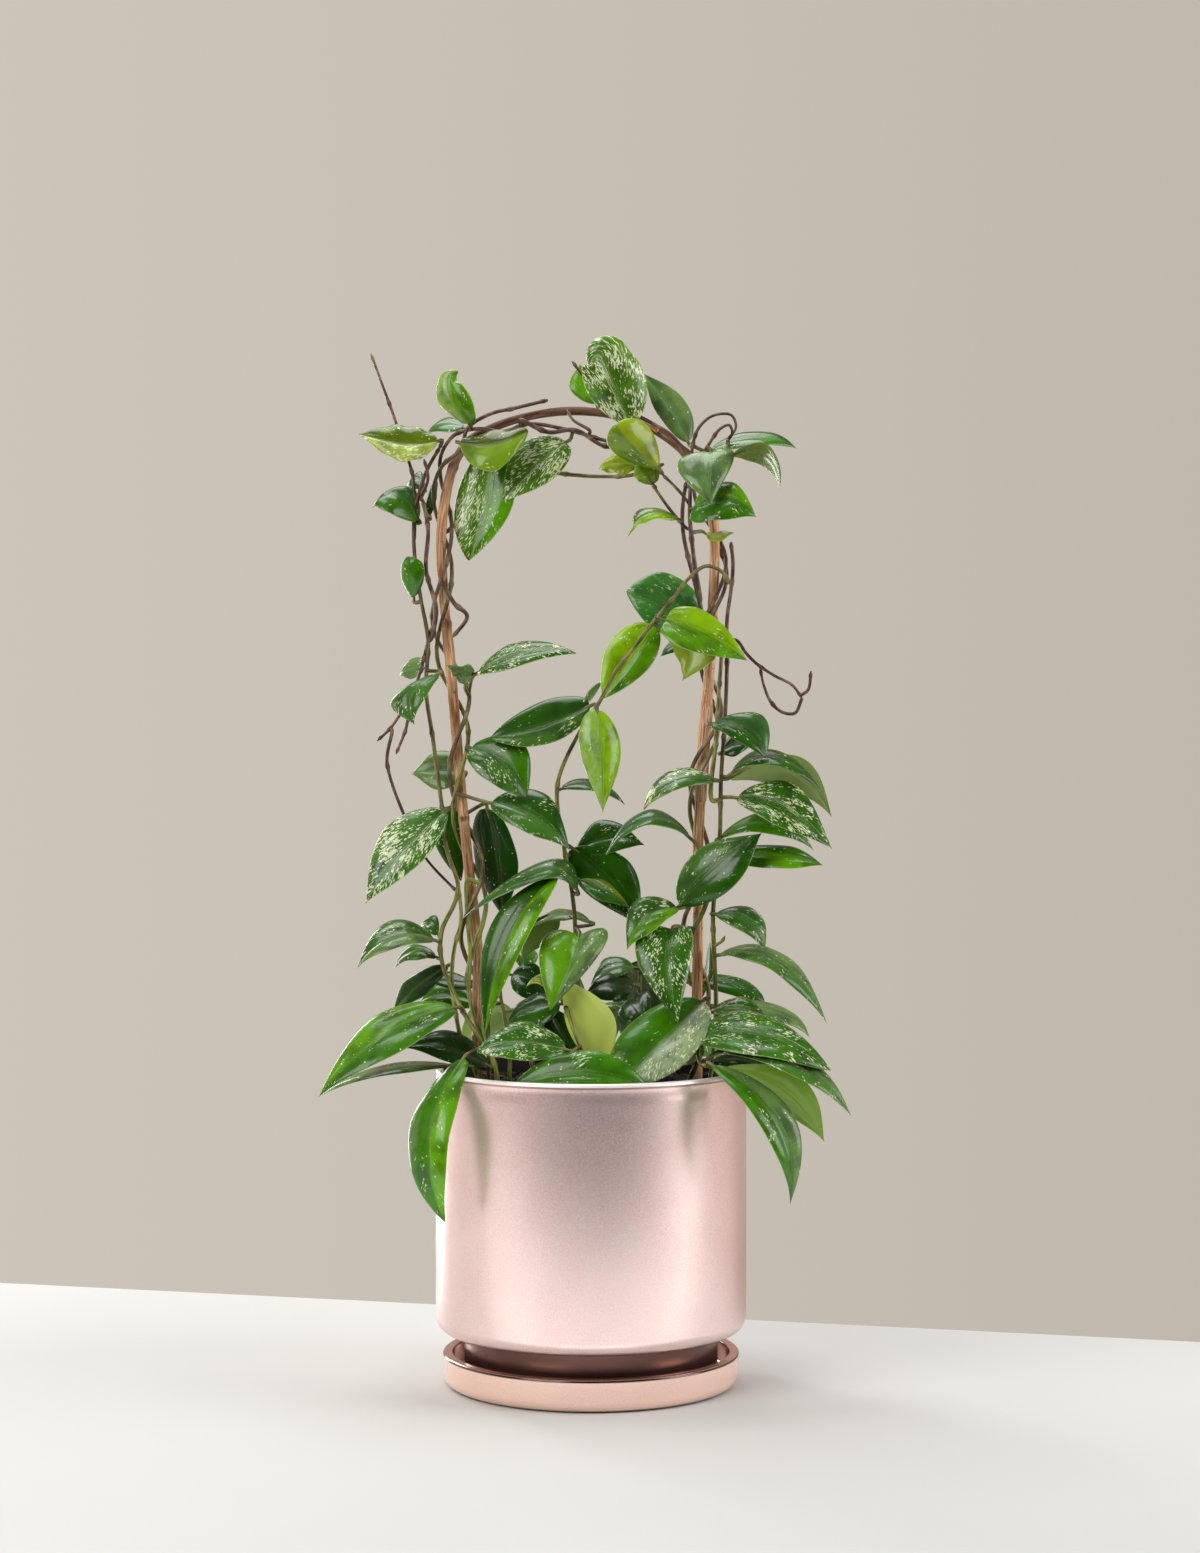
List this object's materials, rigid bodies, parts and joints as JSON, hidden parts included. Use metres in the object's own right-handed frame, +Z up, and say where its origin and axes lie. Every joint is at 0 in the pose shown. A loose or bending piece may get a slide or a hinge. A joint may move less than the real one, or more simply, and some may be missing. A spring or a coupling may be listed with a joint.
{
  "type": "potted hoya pubicalyx",
  "caption": "Potted climbing hoya with thick flecked leaves, trained on a hoop of bent cane in a glazed pot with saucer.",
  "frame": {"origin": "centre of the saucer's flat underside", "axes": "+Z up along the pot's axis, +X to the right as seen from the front, the front towards -Y, the hoop in the XZ plane"},
  "size_m": [0.3332, 0.2307, 0.6665],
  "materials": {
    "saucer_glaze": "glossy copper-pink metallic glaze",
    "pot_glaze": "satin pearl rose glaze",
    "potting_mix": "moist and crumbly",
    "cane": "dry and matt, with nodes and bits of bark",
    "hoya": "waxy leaves with silver flecks, on woody and green stems"
  },
  "bodies": {
    "root": {"saucer": "saucer_glaze", "pot": "pot_glaze", "soil": "potting_mix", "hoop": "cane", "left_vine": "hoya", "left_outer_vine": "hoya", "right_vine": "hoya", "right_outer_vine": "hoya", "centre_vine": "hoya", "front_shoot": "hoya", "right_shoot": "hoya", "left_shoot": "hoya", "back_shoot": "hoya", "back_left_shoot": "hoya"}
  },
  "joints": []
}
